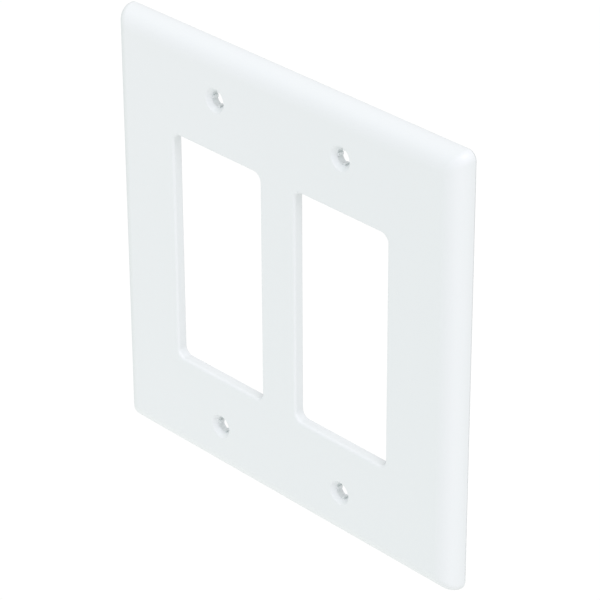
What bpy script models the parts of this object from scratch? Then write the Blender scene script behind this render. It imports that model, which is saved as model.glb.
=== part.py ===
"""A two-gang wall plate with two rectangular device openings, moulded in one piece.

+X runs to the right as seen from the front, +Z runs up and the front faces -Y.
The origin lies on the wall, midway between the two openings, and the wall is the plane y = 0.
"""

import math

import bmesh
import bpy

MM = 0.001

# Outline and depth of the whole plate.
PLATE_WIDTH = 125.9 * MM
PLATE_HEIGHT = 124.9 * MM
PLATE_DEPTH = 6.6 * MM
OUTLINE_RADIUS = 2.7 * MM

# The edge: a short side that leans in towards the wall, then a quarter ellipse up to the flat front.
SIDE_HEIGHT = 0.6 * MM
SIDE_TAPER = 0.35 * MM
ROLL_WIDTH = 5.6 * MM
FRONT_CORNER_RADIUS = 0.8 * MM

# The hollow behind the front.
FACE_THICKNESS = 2.2 * MM
RIM_THICKNESS = 2.2 * MM
HOLLOW_CORNER_RADIUS = 1.0 * MM

# Two openings for standard rectangular devices, and the collar behind each.
GANG_SPACING = 46.04 * MM
OPENING_WIDTH = 33.3 * MM
OPENING_HEIGHT = 66.8 * MM
OPENING_RADIUS = 2.4 * MM
OPENING_DEPTH = 3.0 * MM
LIP_RADIUS = 0.8 * MM
COLLAR_THICKNESS = 1.4 * MM

# Four countersunk holes for no. 6 oval-head screws, each through a low boss on the back.
SCREW_SPACING = 96.84 * MM
COUNTERSINK_RADIUS = 3.42 * MM
COUNTERSINK_ANGLE = math.radians(82)
BORE_RADIUS = 2.3 * MM
BOSS_DEPTH = 3.2 * MM
BOSS_ROOT_RADIUS = 4.6 * MM
BOSS_TIP_RADIUS = 4.4 * MM

# Small fins that stand in each bore and hold a screw in place before it is driven.
FIN_COUNT = 4
FIN_THICKNESS = 0.9 * MM
FIN_HEIGHT = 0.5 * MM
FIN_SETBACK = 0.15 * MM

# Upright ribs on the back of the front wall join each boss to the collar and to the rim.
RIB_THICKNESS = 1.0 * MM
RIB_HEIGHT = 1.6 * MM

# How far joined shapes run into each other, and cutters run past a surface.
OVERLAP = 0.6 * MM

# Smoothness of the round stretches.
OUTLINE_STEPS = 6
ROLL_STEPS = 9
LIP_STEPS = 3
ROUND_SIDES = 32
SMOOTH_ANGLE = math.radians(35)

PLASTIC_COLOUR = (0.80, 0.84, 0.84, 1.0)
PLASTIC_ROUGHNESS = 0.35

FRONT_Y = -PLATE_DEPTH
BACK_OF_FACE_Y = FRONT_Y + FACE_THICKNESS
COLUMNS = (-GANG_SPACING / 2, GANG_SPACING / 2)
ROWS = (-SCREW_SPACING / 2, SCREW_SPACING / 2)


def clear_scene():
    """Removes whatever objects the file opened with."""
    for thing in list(bpy.data.objects):
        bpy.data.objects.remove(thing)


def rounded_rectangle(width, height, radius):
    """The (x, z) points of a rectangle with round corners, anticlockwise as seen from the front."""
    quarter = math.pi / 2
    centres = ((1, 1), (-1, 1), (-1, -1), (1, -1))
    points = []
    for turn, (side_x, side_z) in enumerate(centres):
        centre_x = side_x * (width / 2 - radius)
        centre_z = side_z * (height / 2 - radius)
        for step in range(OUTLINE_STEPS + 1):
            angle = quarter * (turn + step / OUTLINE_STEPS)
            points.append((centre_x + radius * math.cos(angle), centre_z + radius * math.sin(angle)))
    return points


def circle(radius):
    """The (x, z) points of a circle, anticlockwise as seen from the front."""
    turns = [2 * math.pi * side / ROUND_SIDES for side in range(ROUND_SIDES)]
    return [(radius * math.cos(turn), radius * math.sin(turn)) for turn in turns]


def add_object(name, mesh, is_tool):
    """Puts a mesh in the scene. A tool is only joined to the plate or cut from it, so it stays hidden."""
    thing = bpy.data.objects.new(name, mesh)
    bpy.context.scene.collection.objects.link(thing)
    if is_tool:
        thing.hide_render = True
        thing.display_type = "WIRE"
    return thing


def loft(name, levels, is_tool=True):
    """A closed solid through level outlines, each a (points, y) pair, listed from the back to the front."""
    shape = bmesh.new()
    rings = [[shape.verts.new((x, y, z)) for x, z in points] for points, y in levels]
    count = len(rings[0])
    for behind, ahead in zip(rings, rings[1:]):
        for here in range(count):
            after = (here + 1) % count
            shape.faces.new((behind[here], behind[after], ahead[after], ahead[here]))
    shape.faces.new(rings[-1])
    shape.faces.new(rings[0][::-1])
    bmesh.ops.recalc_face_normals(shape, faces=shape.faces)
    mesh = bpy.data.meshes.new(name)
    shape.to_mesh(mesh)
    shape.free()
    return add_object(name, mesh, is_tool)


def block(name, low, high):
    """A box between two opposite corners."""
    corners = ((low[0], low[2]), (high[0], low[2]), (high[0], high[2]), (low[0], high[2]))
    return loft(name, [(corners, high[1]), (corners, low[1])])


def combine(plate, tool, operation):
    """Adds a Boolean step to the plate: a UNION with the tool, or a DIFFERENCE from it."""
    step = plate.modifiers.new(tool.name, "BOOLEAN")
    step.object = tool
    step.operation = operation
    step.solver = "EXACT"


def rolled_levels(outset, side_y, front_y, roll_width, radii):
    """Level outlines of a quarter ellipse that rises from side_y to front_y.

    outset moves its foot out from the plate's own outline, and is negative inside it. radii are the
    corner radius at the foot and the corner radius at the front.
    """
    levels = []
    for step in range(ROLL_STEPS + 1):
        angle = math.pi / 2 * step / ROLL_STEPS
        inset = roll_width * (1 - math.cos(angle)) - outset
        y = side_y + (front_y - side_y) * math.sin(angle)
        radius = radii[0] + (radii[1] - radii[0]) * (1 - math.cos(angle))
        outline = rounded_rectangle(PLATE_WIDTH - 2 * inset, PLATE_HEIGHT - 2 * inset, radius)
        levels.append((outline, y))
    return levels


def make_shell():
    """The outside of the plate as a solid, and the hollow cut from its back."""
    outside = rolled_levels(0, -SIDE_HEIGHT, FRONT_Y, ROLL_WIDTH, (OUTLINE_RADIUS, FRONT_CORNER_RADIUS))
    at_wall = rounded_rectangle(
        PLATE_WIDTH - 2 * SIDE_TAPER, PLATE_HEIGHT - 2 * SIDE_TAPER, OUTLINE_RADIUS - SIDE_TAPER
    )
    plate = loft("wall_plate", [(at_wall, 0)] + outside, is_tool=False)

    hollow_roll = ROLL_WIDTH - RIM_THICKNESS
    hollow_radii = (HOLLOW_CORNER_RADIUS, FRONT_CORNER_RADIUS)
    inside = rolled_levels(-RIM_THICKNESS, -SIDE_HEIGHT, BACK_OF_FACE_Y, hollow_roll, hollow_radii)
    combine(plate, loft("hollow", [(inside[0][0], OVERLAP)] + inside), "DIFFERENCE")
    return plate


def opening_outline(outset):
    """The outline of an opening, moved out by a distance on every side."""
    width = OPENING_WIDTH + 2 * outset
    height = OPENING_HEIGHT + 2 * outset
    return rounded_rectangle(width, height, OPENING_RADIUS + outset)


def add_collar(plate, column):
    """The low wall round the back of one opening. The opening is cut through it afterwards."""
    outline = opening_outline(COLLAR_THICKNESS)
    levels = [(outline, FRONT_Y + OPENING_DEPTH), (outline, BACK_OF_FACE_Y - OVERLAP)]
    collar = loft(f"collar_{column}", levels)
    collar.location.x = COLUMNS[column]
    combine(plate, collar, "UNION")


def cut_opening(plate, column):
    """One opening through the front wall and its collar, with a rounded lip at the front."""
    levels = [(opening_outline(0), FRONT_Y + OPENING_DEPTH + OVERLAP)]
    for step in range(LIP_STEPS + 1):
        angle = math.pi / 2 * step / LIP_STEPS
        outset = LIP_RADIUS * (1 - math.cos(angle))
        levels.append((opening_outline(outset), FRONT_Y + LIP_RADIUS * (1 - math.sin(angle))))
    levels.append((opening_outline(LIP_RADIUS), FRONT_Y - OVERLAP))
    opening = loft(f"opening_{column}", levels)
    opening.location.x = COLUMNS[column]
    combine(plate, opening, "DIFFERENCE")


def add_boss(plate, column, row):
    """One tapered boss behind the front wall, which the screw hole is drilled through."""
    tip = (circle(BOSS_TIP_RADIUS), FRONT_Y + BOSS_DEPTH)
    root = (circle(BOSS_ROOT_RADIUS), BACK_OF_FACE_Y - OVERLAP)
    boss = loft(f"boss_{column}_{row}", [tip, root])
    boss.location = (COLUMNS[column], 0, ROWS[row])
    combine(plate, boss, "UNION")


def cut_screw_hole(plate, column, row):
    """One countersunk hole: a cone at the front that narrows to a plain bore."""
    slope = math.tan(COUNTERSINK_ANGLE / 2)
    cone_depth = (COUNTERSINK_RADIUS - BORE_RADIUS) / slope
    levels = [
        (circle(BORE_RADIUS), FRONT_Y + BOSS_DEPTH + OVERLAP),
        (circle(BORE_RADIUS), FRONT_Y + cone_depth),
        (circle(COUNTERSINK_RADIUS + OVERLAP * slope), FRONT_Y - OVERLAP),
    ]
    hole = loft(f"screw_hole_{column}_{row}", levels)
    hole.location = (COLUMNS[column], 0, ROWS[row])
    combine(plate, hole, "DIFFERENCE")


def add_fin(plate, column, row, turn):
    """One fin, which stands from the wall of a bore towards its axis."""
    bore_start = FRONT_Y + (COUNTERSINK_RADIUS - BORE_RADIUS) / math.tan(COUNTERSINK_ANGLE / 2)
    low = (BORE_RADIUS - FIN_HEIGHT, bore_start + FIN_SETBACK, -FIN_THICKNESS / 2)
    high = (BORE_RADIUS + OVERLAP, FRONT_Y + BOSS_DEPTH - FIN_SETBACK, FIN_THICKNESS / 2)
    fin = block(f"fin_{column}_{row}_{turn}", low, high)
    fin.location = (COLUMNS[column], 0, ROWS[row])
    fin.rotation_euler.y = 2 * math.pi * turn / FIN_COUNT
    combine(plate, fin, "UNION")


def add_ribs(plate, column, row):
    """Two upright ribs on the back: one from the collar to a boss, and one from that boss to the rim."""
    side = math.copysign(1, ROWS[row])
    boss_z = abs(ROWS[row])
    boss_reach = BOSS_TIP_RADIUS - OVERLAP
    collar_z = OPENING_HEIGHT / 2 + COLLAR_THICKNESS - OVERLAP
    rim_z = PLATE_HEIGHT / 2 - RIM_THICKNESS
    for part, span in (("near", (collar_z, boss_z - boss_reach)), ("far", (boss_z + boss_reach, rim_z))):
        low_z, high_z = sorted((side * span[0], side * span[1]))
        low = (-RIB_THICKNESS / 2, BACK_OF_FACE_Y - OVERLAP, low_z)
        high = (RIB_THICKNESS / 2, BACK_OF_FACE_Y + RIB_HEIGHT, high_z)
        rib = block(f"rib_{column}_{row}_{part}", low, high)
        rib.location.x = COLUMNS[column]
        combine(plate, rib, "UNION")


def plastic_material():
    """Smooth white moulded plastic."""
    material = bpy.data.materials.new("white_plastic")
    material.use_nodes = True
    shader = material.node_tree.nodes["Principled BSDF"]
    shader.inputs["Base Color"].default_value = PLASTIC_COLOUR
    shader.inputs["Roughness"].default_value = PLASTIC_ROUGHNESS
    shader.inputs["Metallic"].default_value = 0.0
    return material


def make_wall_plate():
    """The whole moulding, built up and cut in the order in which its features meet."""
    plate = make_shell()
    for column in range(len(COLUMNS)):
        add_collar(plate, column)
        for row in range(len(ROWS)):
            add_boss(plate, column, row)
            add_ribs(plate, column, row)
    for column in range(len(COLUMNS)):
        cut_opening(plate, column)
        for row in range(len(ROWS)):
            cut_screw_hole(plate, column, row)
            for turn in range(FIN_COUNT):
                add_fin(plate, column, row, turn)
    plate.data.materials.append(plastic_material())
    plate.data.shade_smooth()
    plate.data.set_sharp_from_angle(angle=SMOOTH_ANGLE)
    return plate


clear_scene()
make_wall_plate()
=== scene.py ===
"""The looks of a two-gang wall plate: its finished surface, its white plastic, and the studio round it."""

import math

import bmesh
import bpy
from mathutils import Matrix, Vector


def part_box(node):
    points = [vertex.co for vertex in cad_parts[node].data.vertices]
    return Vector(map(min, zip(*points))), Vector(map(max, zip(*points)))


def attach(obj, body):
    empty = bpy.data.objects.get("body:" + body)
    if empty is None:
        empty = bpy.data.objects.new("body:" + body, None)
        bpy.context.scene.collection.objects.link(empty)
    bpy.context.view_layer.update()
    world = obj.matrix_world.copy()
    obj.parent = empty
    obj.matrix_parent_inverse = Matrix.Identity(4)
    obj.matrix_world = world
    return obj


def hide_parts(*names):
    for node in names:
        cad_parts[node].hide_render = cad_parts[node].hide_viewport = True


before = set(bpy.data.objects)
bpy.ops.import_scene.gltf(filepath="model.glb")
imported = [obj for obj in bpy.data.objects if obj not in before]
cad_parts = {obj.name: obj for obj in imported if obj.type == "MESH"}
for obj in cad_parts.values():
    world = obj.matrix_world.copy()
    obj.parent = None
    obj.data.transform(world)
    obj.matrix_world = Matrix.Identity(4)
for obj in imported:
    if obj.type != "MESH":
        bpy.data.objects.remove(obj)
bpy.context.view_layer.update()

MM = 0.001

# The plate's size comes from its CAD node in model.glb. Its front faces -Y and its rim lies on the wall,
# at y = 0.
PLATE_LOW, PLATE_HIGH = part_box("wall_plate")
PLATE_WIDTH = PLATE_HIGH[0] - PLATE_LOW[0]
PLATE_HEIGHT = PLATE_HIGH[2] - PLATE_LOW[2]
WALL_Y = PLATE_HIGH[1]
FRONT_Y = PLATE_LOW[1]

# The studio: a plain white floor, and broad soft glows that light the plate. Each glow has the
# direction that it comes from and its colour. It starts at GLOW_EDGE and is full from GLOW_FULL on,
# both as the cosine of the angle to its direction.
WHITE = (1, 1, 1, 1)
FLOOR_SIZE = 60.0
FLOOR_Z = -0.4
BACKGROUND_GLOW = 1.02
GLOWS = (
    ((1, 0, 0), (0.64, 0.65, 0.63)),
    ((0, 0, 1), (0.77, 0.74, 0.74)),
    ((1, -1, 1), (0.52, 0.47, 0.55)),
    ((-1, -1, 0), (0.17, 0.25, 0.22)),
    ((-1, 0, 0), (0.47, 0.47, 0.47)),
    ((0, -1, -1), (0.47, 0.44, 0.43)),
    ((0, 0, -1), (0.69, 0.69, 0.69)),
    ((0, 1, 0), (0.30, 0.30, 0.30)),
)
GLOW_EDGE = 0.2
GLOW_FULL = 0.9

# The sun, high up and a little to the right. It shades the top of each opening and brightens the lips.
SUN_DIRECTION = (0.35, -0.2, 0.92)
SUN_SPREAD = math.radians(15)
SUN_STRENGTH = 0.5

# A round lamp near the plate's left side, which makes the left a little brighter than the right.
LAMP_PLACE = (-0.45, -0.35, 0.05)
LAMP_SIZE = 0.6
LAMP_POWER = 0.28
LAMP_COLOUR = (1.0, 0.67, 0.75)

# Outline and rolled edge.
OUTLINE_RADIUS = 2.7 * MM
FRONT_CORNER_RADIUS = 0.8 * MM
SIDE_HEIGHT = 0.6 * MM
SIDE_TAPER = 0.35 * MM
ROLL_WIDTH = 5.6 * MM
RIM_EDGE_RADIUS = 0.25 * MM

# The hollow behind the front.
FACE_THICKNESS = 2.2 * MM
RIM_THICKNESS = 2.2 * MM
HOLLOW_CORNER_RADIUS = 1.0 * MM
BACK_OF_FACE_Y = FRONT_Y + FACE_THICKNESS

# The two device openings and their collars.
GANG_SPACING = 46.04 * MM
OPENING_WIDTH = 33.3 * MM
OPENING_HEIGHT = 66.8 * MM
OPENING_RADIUS = 2.4 * MM
OPENING_DEPTH = 3.0 * MM
LIP_RADIUS = 0.8 * MM
COLLAR_THICKNESS = 1.4 * MM
COLLAR_EDGE_RADIUS = 0.2 * MM

# The countersunk screw holes and their bosses.
SCREW_SPACING = 96.84 * MM
COUNTERSINK_RADIUS = 3.42 * MM
COUNTERSINK_ANGLE = math.radians(82)
COUNTERSINK_LIP_RADIUS = 0.3 * MM
BORE_RADIUS = 2.3 * MM
BOSS_DEPTH = 3.2 * MM
BOSS_ROOT_RADIUS = 4.6 * MM
BOSS_TIP_RADIUS = 4.4 * MM
BOSS_FILLET = 0.3 * MM

# Fins in the bores, which hold a loose screw.
FIN_COUNT = 4
FIN_THICKNESS = 0.9 * MM
FIN_HEIGHT = 0.5 * MM
FIN_SETBACK = 0.15 * MM

# Ribs on the back, a little thinner at the tip.
RIB_THICKNESS = 1.0 * MM
RIB_TIP_THICKNESS = 0.8 * MM
RIB_HEIGHT = 1.6 * MM

# Marks that the mould leaves on the back: round dents from its ejector pins, and the stub of its gate.
PIN_RADIUS = 2.5 * MM
PIN_DENT = 0.2 * MM
PIN_PLACES = [(x * MM, z * MM) for x in (-50, 0, 50) for z in (-48, 48)]
PIN_PLACES += [(x * MM, z * MM) for x, z in ((-50, 0), (50, 0), (0, -22), (0, 22))]
GATE_ROOT_RADIUS = 1.0 * MM
GATE_TIP_RADIUS = 0.7 * MM
GATE_HEIGHT = 0.5 * MM

# The plastic's surface: the size of its faint ripple and of its patches of tone and gloss.
RIPPLE_SIZE = 0.9 * MM
RIPPLE_DETAIL = 2
RIPPLE_DEPTH = 0.002 * MM
PATCH_SIZE = 14 * MM
PATCH_DETAIL = 3
PLASTIC_TONES = ((0.750, 0.796, 0.796, 1), (0.760, 0.804, 0.804, 1))
PLASTIC_ROUGHNESS = (0.31, 0.39)
PLASTIC_IOR = 1.5

# How far joined shapes run into each other, and cutters run past a surface.
OVERLAP = 0.6 * MM

# Points closer than this after the Boolean steps are one point.
WELD_DISTANCE = 0.001 * MM

# Smoothness of the round stretches. LARGE_FACE_SHARE is how far the flat faces, not the narrow round
# ones, set the shading where the two meet.
OUTLINE_STEPS = 16
ROLL_STEPS = 28
LIP_STEPS = 8
EDGE_STEPS = 4
ROUND_SIDES = 96
SMOOTH_ANGLE = math.radians(25)
LARGE_FACE_SHARE = 100

GANGS = (-GANG_SPACING / 2, GANG_SPACING / 2)
SCREW_ROWS = (-SCREW_SPACING / 2, SCREW_SPACING / 2)
SCREWS = [(x, z) for x in GANGS for z in SCREW_ROWS]

# The camera looks at the middle of the plate's front, a little off its centre.
CAMERA_AZIMUTH = math.radians(46.85)
CAMERA_ELEVATION = math.radians(28.91)
CAMERA_ROLL = math.radians(-0.26)
CAMERA_DISTANCE = 785 * MM
CAMERA_RIGHT = 5.81 * MM
CAMERA_UP = -0.21 * MM
CAMERA_LENS = 183.1
SENSOR_WIDTH = 36.0


# ---------------------------------------------------------------- outlines and profiles


def rounded_rectangle(width, height, radius):
    """The (x, z) points of a rectangle with round corners, anticlockwise as seen from the front."""
    centres = ((1, 1), (-1, 1), (-1, -1), (1, -1))
    points = []
    for turn, (side_x, side_z) in enumerate(centres):
        centre_x = side_x * (width / 2 - radius)
        centre_z = side_z * (height / 2 - radius)
        for step in range(OUTLINE_STEPS + 1):
            angle = math.pi / 2 * (turn + step / OUTLINE_STEPS)
            points.append((centre_x + radius * math.cos(angle), centre_z + radius * math.sin(angle)))
    return points


def circle(radius):
    """The (x, z) points of a circle, anticlockwise as seen from the front."""
    turns = [2 * math.pi * side / ROUND_SIDES for side in range(ROUND_SIDES)]
    return [(radius * math.cos(turn), radius * math.sin(turn)) for turn in turns]


def arc(centre, reach, start, end, steps):
    """(outset, y) points on an elliptical arc. 0 degrees points outwards and 90 degrees to the front."""
    points = []
    for step in range(steps + 1):
        angle = math.radians(start + (end - start) * step / steps)
        points.append((centre[0] + reach[0] * math.cos(angle), centre[1] - reach[1] * math.sin(angle)))
    return points


def opening_outline(outset):
    """The outline of a device opening, moved out by a distance on every side."""
    return rounded_rectangle(
        OPENING_WIDTH + 2 * outset, OPENING_HEIGHT + 2 * outset, OPENING_RADIUS + outset
    )


# ---------------------------------------------------------------- solids


def add_loft(shape, levels, place=(0, 0)):
    """Adds a closed solid through (points, y) levels, listed from the back to the front."""
    rings = [[shape.verts.new((x + place[0], y, z + place[1])) for x, z in points] for points, y in levels]
    count = len(rings[0])
    for behind, ahead in zip(rings, rings[1:]):
        for here in range(count):
            after = (here + 1) % count
            shape.faces.new((behind[here], behind[after], ahead[after], ahead[here]))
    shape.faces.new(rings[-1])
    shape.faces.new(rings[0][::-1])


def solid(name, shape):
    """Turns a bmesh of closed solids into an object."""
    bmesh.ops.recalc_face_normals(shape, faces=shape.faces)
    mesh = bpy.data.meshes.new(name)
    shape.to_mesh(mesh)
    shape.free()
    thing = bpy.data.objects.new(name, mesh)
    bpy.context.scene.collection.objects.link(thing)
    return thing


def plate_levels(profile, start_radius, roll_start):
    """The plate's outline at each (outset, y) of a profile. Its corners tighten over the roll."""
    levels = []
    last_outset = profile[-1][0]
    for outset, y in profile:
        share = max(0.0, (roll_start - outset) / (roll_start - last_outset))
        radius = start_radius + (FRONT_CORNER_RADIUS - start_radius) * share
        levels.append((rounded_rectangle(PLATE_WIDTH + 2 * outset, PLATE_HEIGHT + 2 * outset, radius), y))
    return levels


def outside():
    """The plate's outer shape, as if it were solid."""
    side_y = WALL_Y - SIDE_HEIGHT
    profile = [(-SIDE_TAPER, WALL_Y)]
    profile += arc((-ROLL_WIDTH, side_y), (ROLL_WIDTH, side_y - FRONT_Y), 0, 90, ROLL_STEPS)
    shape = bmesh.new()
    add_loft(shape, plate_levels(profile, OUTLINE_RADIUS, 0))
    return solid("moulding", shape)


def hollow():
    """The space behind the front wall."""
    edge = RIM_EDGE_RADIUS
    rim = -RIM_THICKNESS
    profile = [(rim + edge, WALL_Y + OVERLAP)]
    profile += arc((rim + edge, WALL_Y - edge), (edge, edge), 270, 180, EDGE_STEPS)
    inner_roll = ROLL_WIDTH - RIM_THICKNESS
    side_y = WALL_Y - SIDE_HEIGHT
    profile += arc((-ROLL_WIDTH, side_y), (inner_roll, side_y - BACK_OF_FACE_Y), 0, 90, ROLL_STEPS)
    shape = bmesh.new()
    add_loft(shape, plate_levels(profile, HOLLOW_CORNER_RADIUS, rim))
    return solid("hollow", shape)


def collars():
    """The low walls round the backs of the two openings."""
    edge = COLLAR_EDGE_RADIUS
    tip_y = FRONT_Y + OPENING_DEPTH
    profile = arc((COLLAR_THICKNESS - edge, tip_y - edge), (edge, edge), -90, 0, EDGE_STEPS)
    profile += arc((COLLAR_THICKNESS + edge, BACK_OF_FACE_Y + edge), (edge, edge), 180, 90, EDGE_STEPS)
    profile.append((COLLAR_THICKNESS + edge, BACK_OF_FACE_Y - OVERLAP))
    shape = bmesh.new()
    for gang_x in GANGS:
        add_loft(shape, [(opening_outline(outset), y) for outset, y in profile], (gang_x, 0))
    return solid("collars", shape)


def bosses():
    """The tapered bosses behind the screw holes."""
    edge = COLLAR_EDGE_RADIUS
    tip_y = FRONT_Y + BOSS_DEPTH
    profile = arc((BOSS_TIP_RADIUS - edge, tip_y - edge), (edge, edge), -90, 0, EDGE_STEPS)
    flare = (BOSS_ROOT_RADIUS + BOSS_FILLET, BACK_OF_FACE_Y + BOSS_FILLET)
    profile += arc(flare, (BOSS_FILLET, BOSS_FILLET), 180, 90, EDGE_STEPS)
    profile.append((BOSS_ROOT_RADIUS + BOSS_FILLET, BACK_OF_FACE_Y - OVERLAP))
    shape = bmesh.new()
    for screw in SCREWS:
        add_loft(shape, [(circle(radius), y) for radius, y in profile], screw)
    return solid("bosses", shape)


def ribs():
    """The upright ribs on the back: from each collar to a boss, and from that boss to the rim."""
    foot = RIB_THICKNESS / 2
    tip = RIB_TIP_THICKNESS / 2
    boss_reach = BOSS_TIP_RADIUS - OVERLAP
    collar_z = OPENING_HEIGHT / 2 + COLLAR_THICKNESS - OVERLAP
    rim_z = PLATE_HEIGHT / 2 - RIM_THICKNESS
    shape = bmesh.new()
    for gang_x, screw_z in SCREWS:
        side = math.copysign(1, screw_z)
        boss_z = abs(screw_z)
        for span in ((collar_z, boss_z - boss_reach), (boss_z + boss_reach, rim_z)):
            low, high = sorted((side * span[0], side * span[1]))
            levels = []
            for half, y in ((tip, BACK_OF_FACE_Y + RIB_HEIGHT), (foot, BACK_OF_FACE_Y - OVERLAP)):
                levels.append((((half, high), (-half, high), (-half, low), (half, low)), y))
            add_loft(shape, levels, (gang_x, 0))
    return solid("ribs", shape)


def openings_and_holes():
    """Everything that is cut right through the plate."""
    edge = COLLAR_EDGE_RADIUS
    back_y = FRONT_Y + OPENING_DEPTH
    profile = [(edge, back_y + OVERLAP)]
    profile += arc((edge, back_y - edge), (edge, edge), 270, 180, EDGE_STEPS)
    profile += arc((LIP_RADIUS, FRONT_Y + LIP_RADIUS), (LIP_RADIUS, LIP_RADIUS), 180, 90, LIP_STEPS)
    profile.append((LIP_RADIUS, FRONT_Y - OVERLAP))
    shape = bmesh.new()
    for gang_x in GANGS:
        add_loft(shape, [(opening_outline(outset), y) for outset, y in profile], (gang_x, 0))
    half_angle = COUNTERSINK_ANGLE / 2
    cone_depth = (COUNTERSINK_RADIUS - BORE_RADIUS) / math.tan(half_angle)
    lip = COUNTERSINK_LIP_RADIUS
    lip_centre = COUNTERSINK_RADIUS + lip * math.tan((math.pi / 2 - half_angle) / 2)
    profile = [(BORE_RADIUS, FRONT_Y + BOSS_DEPTH + OVERLAP), (BORE_RADIUS, FRONT_Y + cone_depth)]
    cone_end = 180 - math.degrees(half_angle)
    profile += arc((lip_centre, FRONT_Y + lip), (lip, lip), cone_end, 90, EDGE_STEPS)
    profile.append((lip_centre, FRONT_Y - OVERLAP))
    levels = [(circle(radius), y) for radius, y in profile]
    for screw in SCREWS:
        add_loft(shape, levels, screw)
    return solid("openings_and_holes", shape)


def fins():
    """Small vanes on the walls of the screw bores."""
    shape = bmesh.new()
    bore_start = FRONT_Y + (COUNTERSINK_RADIUS - BORE_RADIUS) / math.tan(COUNTERSINK_ANGLE / 2)
    inner = BORE_RADIUS - FIN_HEIGHT
    outer = BORE_RADIUS + OVERLAP
    half = FIN_THICKNESS / 2
    for screw in SCREWS:
        for turn in range(FIN_COUNT):
            spin = Matrix.Rotation(2 * math.pi * turn / FIN_COUNT, 2)
            corners = ((outer, -half), (outer, half), (inner, half), (inner, -half))
            outline = [tuple(spin @ Vector(corner)) for corner in corners]
            levels = [
                (outline, FRONT_Y + BOSS_DEPTH - FIN_SETBACK),
                (outline, bore_start + FIN_SETBACK),
            ]
            add_loft(shape, levels, screw)
    return solid("fins", shape)


def pin_dents():
    """The shallow round dents that ejector pins leave on the back of the front wall."""
    shape = bmesh.new()
    disc = circle(PIN_RADIUS)
    for place in PIN_PLACES:
        add_loft(shape, [(disc, BACK_OF_FACE_Y + OVERLAP), (disc, BACK_OF_FACE_Y - PIN_DENT)], place)
    return solid("pin_dents", shape)


def gate_stub():
    """The stub where the plastic flowed into the mould, in the middle of the back."""
    tip = (circle(GATE_TIP_RADIUS), BACK_OF_FACE_Y + GATE_HEIGHT)
    root = (circle(GATE_ROOT_RADIUS), BACK_OF_FACE_Y - OVERLAP)
    shape = bmesh.new()
    add_loft(shape, [tip, root])
    return solid("gate_stub", shape)


def combine(plate, tool, operation):
    """Applies one Boolean step to the plate, then removes the tool."""
    step = plate.modifiers.new(tool.name, "BOOLEAN")
    step.object = tool
    step.operation = operation
    step.solver = "EXACT"
    with bpy.context.temp_override(object=plate, active_object=plate, selected_objects=[plate]):
        bpy.ops.object.modifier_apply(modifier=step.name)
    bpy.data.objects.remove(tool)


def weld(plate):
    """Joins the points that the Boolean steps leave on top of each other."""
    shape = bmesh.new()
    shape.from_mesh(plate.data)
    bmesh.ops.remove_doubles(shape, verts=shape.verts, dist=WELD_DISTANCE)
    shape.to_mesh(plate.data)
    shape.free()


def moulded_plate():
    """The finished plate, which stands for the CAD node."""
    plate = outside()
    combine(plate, hollow(), "DIFFERENCE")
    combine(plate, pin_dents(), "DIFFERENCE")
    combine(plate, gate_stub(), "UNION")
    combine(plate, collars(), "UNION")
    combine(plate, ribs(), "UNION")
    combine(plate, bosses(), "UNION")
    combine(plate, openings_and_holes(), "DIFFERENCE")
    combine(plate, fins(), "UNION")
    weld(plate)
    plate.data.shade_smooth()
    plate.data.set_sharp_from_angle(angle=SMOOTH_ANGLE)
    shading = plate.modifiers.new("even_shading", "WEIGHTED_NORMAL")
    shading.keep_sharp = True
    shading.weight = LARGE_FACE_SHARE
    return plate


# ---------------------------------------------------------------- materials


def add_noise(nodes, links, size, detail):
    """A noise pattern in the object's own space, whose features are about one size across."""
    noise = nodes.new("ShaderNodeTexNoise")
    noise.inputs["Scale"].default_value = 1 / size
    noise.inputs["Detail"].default_value = detail
    links.new(nodes["Texture Coordinate"].outputs["Object"], noise.inputs["Vector"])
    return noise


def white_plastic():
    """Smooth white moulded plastic: a faint ripple, and patches of slightly different tone and gloss."""
    material = bpy.data.materials.new("white_plastic")
    material.use_nodes = True
    nodes = material.node_tree.nodes
    links = material.node_tree.links
    nodes.new("ShaderNodeTexCoord")
    shader = nodes["Principled BSDF"]
    shader.inputs["IOR"].default_value = PLASTIC_IOR

    patches = add_noise(nodes, links, PATCH_SIZE, PATCH_DETAIL)
    tone = nodes.new("ShaderNodeValToRGB")
    for stop, colour in zip(tone.color_ramp.elements, PLASTIC_TONES):
        stop.color = colour
    links.new(patches.outputs["Fac"], tone.inputs["Fac"])
    links.new(tone.outputs["Color"], shader.inputs["Base Color"])

    gloss = nodes.new("ShaderNodeMapRange")
    gloss.inputs["To Min"].default_value, gloss.inputs["To Max"].default_value = PLASTIC_ROUGHNESS
    links.new(patches.outputs["Fac"], gloss.inputs["Value"])
    links.new(gloss.outputs["Result"], shader.inputs["Roughness"])

    ripple = add_noise(nodes, links, RIPPLE_SIZE, RIPPLE_DETAIL)
    bump = nodes.new("ShaderNodeBump")
    bump.inputs["Distance"].default_value = RIPPLE_DEPTH
    links.new(ripple.outputs["Fac"], bump.inputs["Height"])
    links.new(bump.outputs["Normal"], shader.inputs["Normal"])
    return material


def glowing_white(name):
    """Plain white that gives off its own light."""
    material = bpy.data.materials.new(name)
    material.use_nodes = True
    nodes = material.node_tree.nodes
    nodes.remove(nodes["Principled BSDF"])
    glow = nodes.new("ShaderNodeEmission")
    glow.inputs["Color"].default_value = WHITE
    glow.inputs["Strength"].default_value = BACKGROUND_GLOW
    material.node_tree.links.new(glow.outputs["Emission"], nodes["Material Output"].inputs["Surface"])
    return material


# ---------------------------------------------------------------- studio


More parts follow.
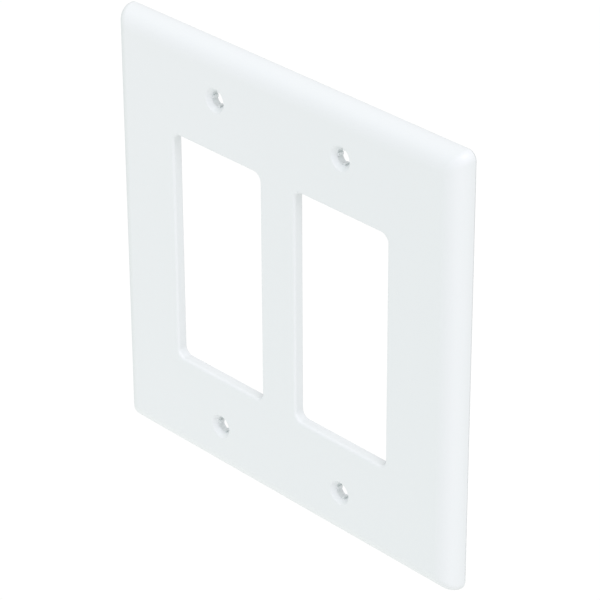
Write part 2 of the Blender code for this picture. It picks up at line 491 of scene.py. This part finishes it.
def floor():
    """A large white floor, well below the plate. It is only seen: the glows do all the lighting."""
    shape = bmesh.new()
    bmesh.ops.create_grid(shape, x_segments=1, y_segments=1, size=FLOOR_SIZE / 2)
    plane = solid("floor", shape)
    plane.location.z = FLOOR_Z
    plane.data.materials.append(glowing_white("floor_white"))
    plane.visible_diffuse = False
    plane.visible_glossy = False
    plane.visible_shadow = False


def add_glow(nodes, links, direction, colour):
    """The light of one soft glow, as a vector of red, green and blue."""
    facing = nodes.new("ShaderNodeVectorMath")
    facing.operation = "DOT_PRODUCT"
    facing.inputs[1].default_value = Vector(direction).normalized()
    links.new(nodes["Texture Coordinate"].outputs["Generated"], facing.inputs[0])
    share = nodes.new("ShaderNodeMapRange")
    share.interpolation_type = "SMOOTHSTEP"
    share.inputs["From Min"].default_value = GLOW_EDGE
    share.inputs["From Max"].default_value = GLOW_FULL
    links.new(facing.outputs["Value"], share.inputs["Value"])
    light = nodes.new("ShaderNodeVectorMath")
    light.operation = "SCALE"
    light.inputs[0].default_value = colour
    links.new(share.outputs["Result"], light.inputs["Scale"])
    return light.outputs["Vector"]


def surroundings():
    """Soft glows all round the plate. The camera sees plain white behind it."""
    world = bpy.data.worlds.new("studio")
    world.use_nodes = True
    nodes = world.node_tree.nodes
    links = world.node_tree.links
    nodes.new("ShaderNodeTexCoord")
    total = None
    for direction, colour in GLOWS:
        light = add_glow(nodes, links, direction, colour)
        if total is None:
            total = light
            continue
        both = nodes.new("ShaderNodeVectorMath")
        links.new(total, both.inputs[0])
        links.new(light, both.inputs[1])
        total = both.outputs["Vector"]
    lighting = nodes["Background"]
    links.new(total, lighting.inputs["Color"])
    backdrop = nodes.new("ShaderNodeBackground")
    backdrop.inputs["Color"].default_value = WHITE
    backdrop.inputs["Strength"].default_value = BACKGROUND_GLOW
    seen = nodes.new("ShaderNodeMixShader")
    links.new(nodes.new("ShaderNodeLightPath").outputs["Is Camera Ray"], seen.inputs["Fac"])
    links.new(lighting.outputs["Background"], seen.inputs[1])
    links.new(backdrop.outputs["Background"], seen.inputs[2])
    links.new(seen.outputs["Shader"], nodes["World Output"].inputs["Surface"])
    bpy.context.scene.world = world


def add_light(light, place):
    """Puts a light at a place and turns it to the origin."""
    thing = bpy.data.objects.new(light.name, light)
    thing.location = place
    thing.rotation_euler = Vector(place).to_track_quat("Z", "Y").to_euler()
    bpy.context.scene.collection.objects.link(thing)


def lights():
    """The sun, and the round lamp."""
    sun = bpy.data.lights.new("sun", "SUN")
    sun.angle = SUN_SPREAD
    sun.energy = SUN_STRENGTH
    add_light(sun, SUN_DIRECTION)
    lamp = bpy.data.lights.new("lamp", "AREA")
    lamp.shape = "DISK"
    lamp.size = LAMP_SIZE
    lamp.energy = LAMP_POWER
    lamp.color = LAMP_COLOUR
    add_light(lamp, LAMP_PLACE)


def camera():
    """A long-lens camera, above and to the right of the plate."""
    back = Vector(
        (
            math.sin(CAMERA_AZIMUTH) * math.cos(CAMERA_ELEVATION),
            -math.cos(CAMERA_AZIMUTH) * math.cos(CAMERA_ELEVATION),
            math.sin(CAMERA_ELEVATION),
        )
    )
    right = Vector((math.cos(CAMERA_AZIMUTH), math.sin(CAMERA_AZIMUTH), 0))
    up = back.cross(right)
    roll = Matrix.Rotation(CAMERA_ROLL, 3, back)
    right = roll @ right
    up = roll @ up
    place = Vector((0, FRONT_Y, 0)) + back * CAMERA_DISTANCE + right * CAMERA_RIGHT + up * CAMERA_UP
    lens = bpy.data.cameras.new("camera")
    lens.lens = CAMERA_LENS
    lens.sensor_width = SENSOR_WIDTH
    thing = bpy.data.objects.new("camera", lens)
    thing.matrix_world = Matrix.Translation(place) @ Matrix((right, up, back)).transposed().to_4x4()
    bpy.context.scene.collection.objects.link(thing)
    bpy.context.scene.camera = thing


camera()
surroundings()
lights()
floor()
bpy.context.scene.view_settings.view_transform = "Standard"

plate = moulded_plate()
plate.name = "moulded_plate"
plate.data.materials.append(white_plastic())
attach(plate, "root")
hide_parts("wall_plate")
